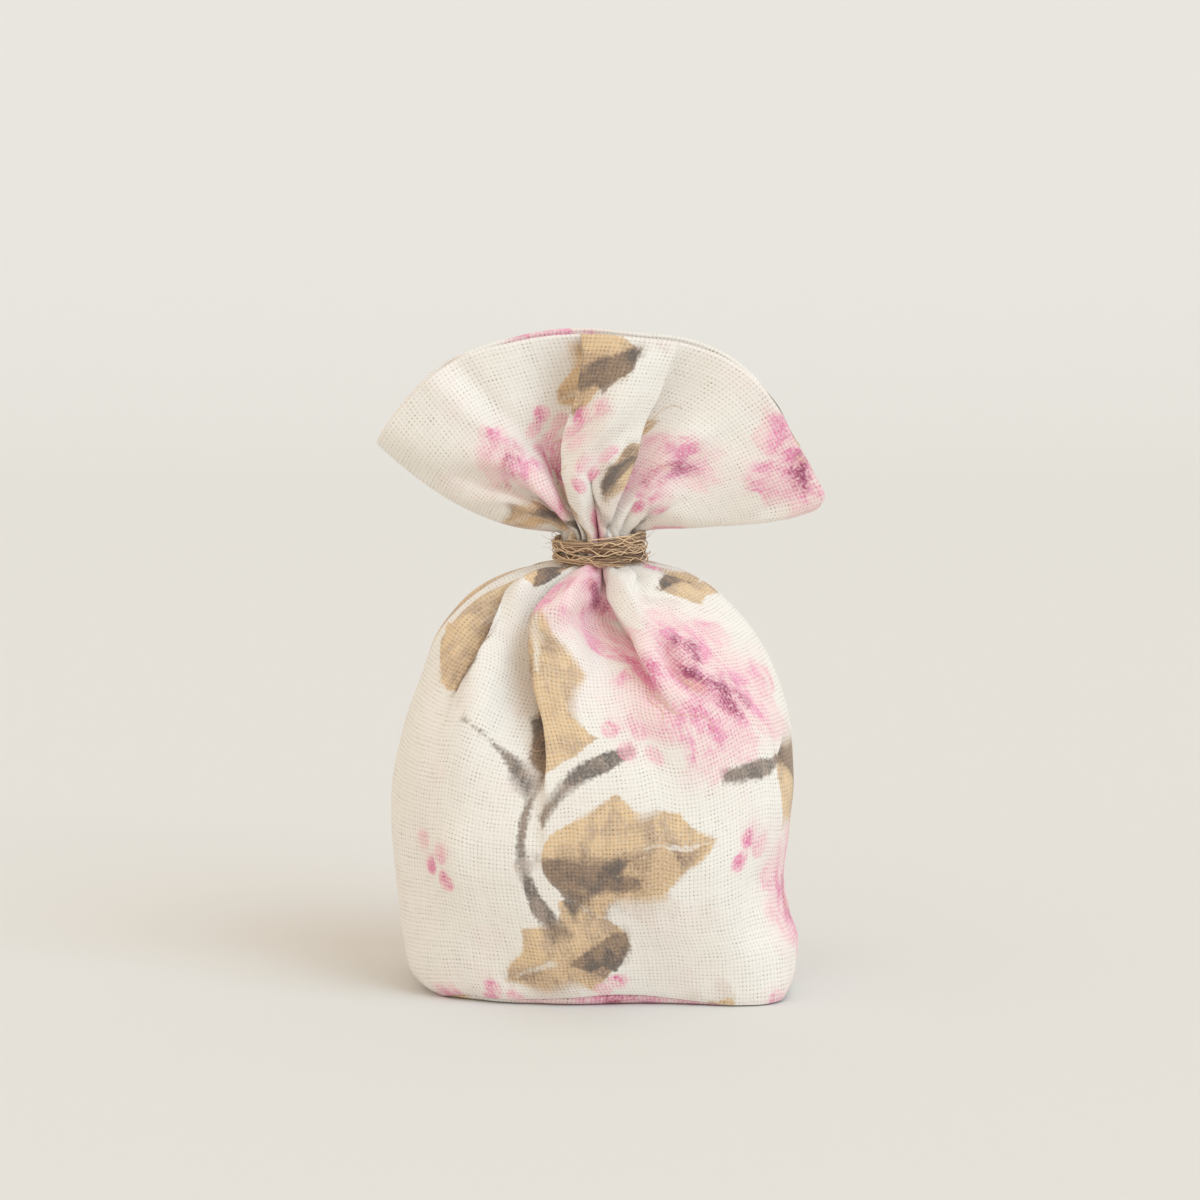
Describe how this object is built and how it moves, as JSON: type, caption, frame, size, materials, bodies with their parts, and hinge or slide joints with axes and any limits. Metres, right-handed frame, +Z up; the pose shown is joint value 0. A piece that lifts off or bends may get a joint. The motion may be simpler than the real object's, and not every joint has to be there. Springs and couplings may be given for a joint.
{
  "type": "gathered fabric pouch",
  "caption": "Filled printed linen pouch that stands on its base, gathered at the neck and tied with wound jute twine under a flared ruffle.",
  "frame": {"origin": "on the floor, under the middle of the pouch's box", "axes": "+Z up along the pouch's height, +X to the right when facing the front, front faces -Y, tie knot at the back on +Y"},
  "size_m": [0.0864, 0.0598, 0.1266],
  "materials": {
    "linen": "matt plain weave, printed with loose watercolour flowers and leaves",
    "filling": "matt loose dried flowers",
    "jute": "matt hairy two-ply twine"
  },
  "bodies": {
    "root": {"front_panel": "linen", "back_panel": "linen", "base_panel": "linen", "filling": "filling", "tie_twine": "jute"}
  },
  "joints": []
}
